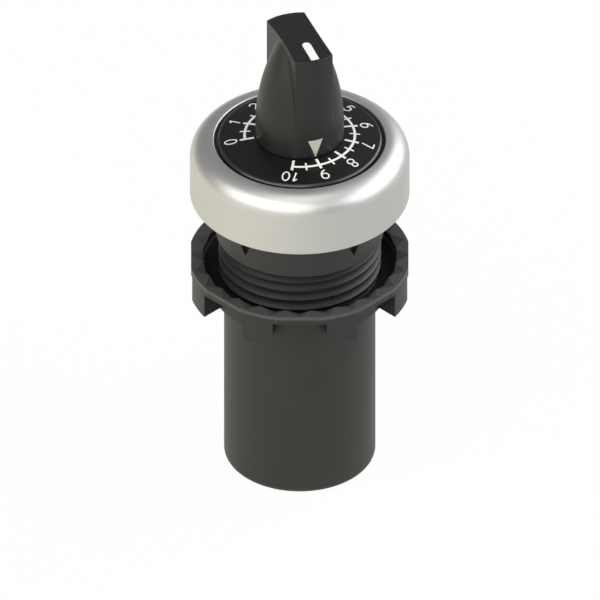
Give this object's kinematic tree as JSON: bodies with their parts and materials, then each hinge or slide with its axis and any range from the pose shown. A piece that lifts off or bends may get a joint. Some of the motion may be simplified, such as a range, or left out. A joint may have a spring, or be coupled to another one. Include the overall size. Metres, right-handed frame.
{
  "type": "panel potentiometer",
  "caption": "Panel-mount rotary potentiometer: bladed knob over a domed 0 to 10 dial, satin bezel, threaded barrel with clawed nut, tubular rear housing.",
  "frame": {"origin": "on the barrel's axis, in the plane of the panel's front face (the underside of the bezel)", "axes": "+Z along the axis out of the panel towards the knob, +Y towards the middle of the scale (figure 5)"},
  "size_m": [0.0292, 0.0292, 0.0673],
  "materials": {
    "body_plastic": "fine moulded black-grey",
    "nut_plastic": "moulded black, low sheen",
    "knob_plastic": "fine moulded charcoal",
    "inlay_white": "white inlay",
    "mark_cream": "cream inlay",
    "dial_black": "black plate, printed scale",
    "bezel_satin": "satin silver",
    "gasket_rubber": "black rubber",
    "bush_plastic": "natural bearing plastic",
    "seal_rubber": "black rubber",
    "plated_steel": "zinc plated",
    "spring_steel": "spring steel",
    "brass": "turned brass",
    "wafer_board": "brown laminate",
    "carbon_track": "carbon ink",
    "silver_ink": "silver ink",
    "rotor_plastic": "pale moulded plastic",
    "wiper_bronze": "spring bronze",
    "lug_tinned": "tinned",
    "lead_sleeve": "wire insulation",
    "base_plastic": "moulded black",
    "screw_steel": "zinc plated"
  },
  "bodies": {
    "housing": {"front_body": "body_plastic", "housing_tube": "body_plastic", "bezel_ring": "bezel_satin", "dial_plate": "dial_black", "panel_gasket": "gasket_rubber", "guide_bush": "bush_plastic", "shaft_seal": "seal_rubber", "seal_washer": "plated_steel", "pot_front_plate": "plated_steel", "pot_bushing": "brass", "lock_washer": "spring_steel", "bushing_nut": "plated_steel", "track_wafer": "wafer_board", "resistive_track": "carbon_track", "collector_ring": "silver_ink", "pot_can": "plated_steel", "lug_start": "lug_tinned", "lug_wiper": "lug_tinned", "lug_end": "lug_tinned", "lead_start": "lead_sleeve", "lead_wiper": "lead_sleeve", "lead_end": "lead_sleeve", "terminal_base": "base_plastic", "terminal_start": "brass", "terminal_wiper": "brass", "terminal_end": "brass", "saddle_washers": "plated_steel", "terminal_screws": "screw_steel"},
    "knob": {"knob": "knob_plastic", "knob_inlay_line": "inlay_white", "knob_inlay_mark": "mark_cream", "shaft": "brass", "shaft_spring_clip": "spring_steel", "shaft_retaining_ring": "spring_steel", "rotor": "rotor_plastic", "wiper": "wiper_bronze"},
    "nut": {"mounting_nut": "nut_plastic"}
  },
  "joints": [
    {"name": "knob_turn", "type": "hinge", "parent": "housing", "child": "knob", "pos_m": [0, 0, 0], "axis": [0, 0, 1], "range_deg": [-28.5, 256.5]},
    {"name": "nut_travel", "type": "slide", "parent": "housing", "child": "nut", "axis": [0, 0, 1], "range_m": [-0.0268, 0.0058]}
  ]
}
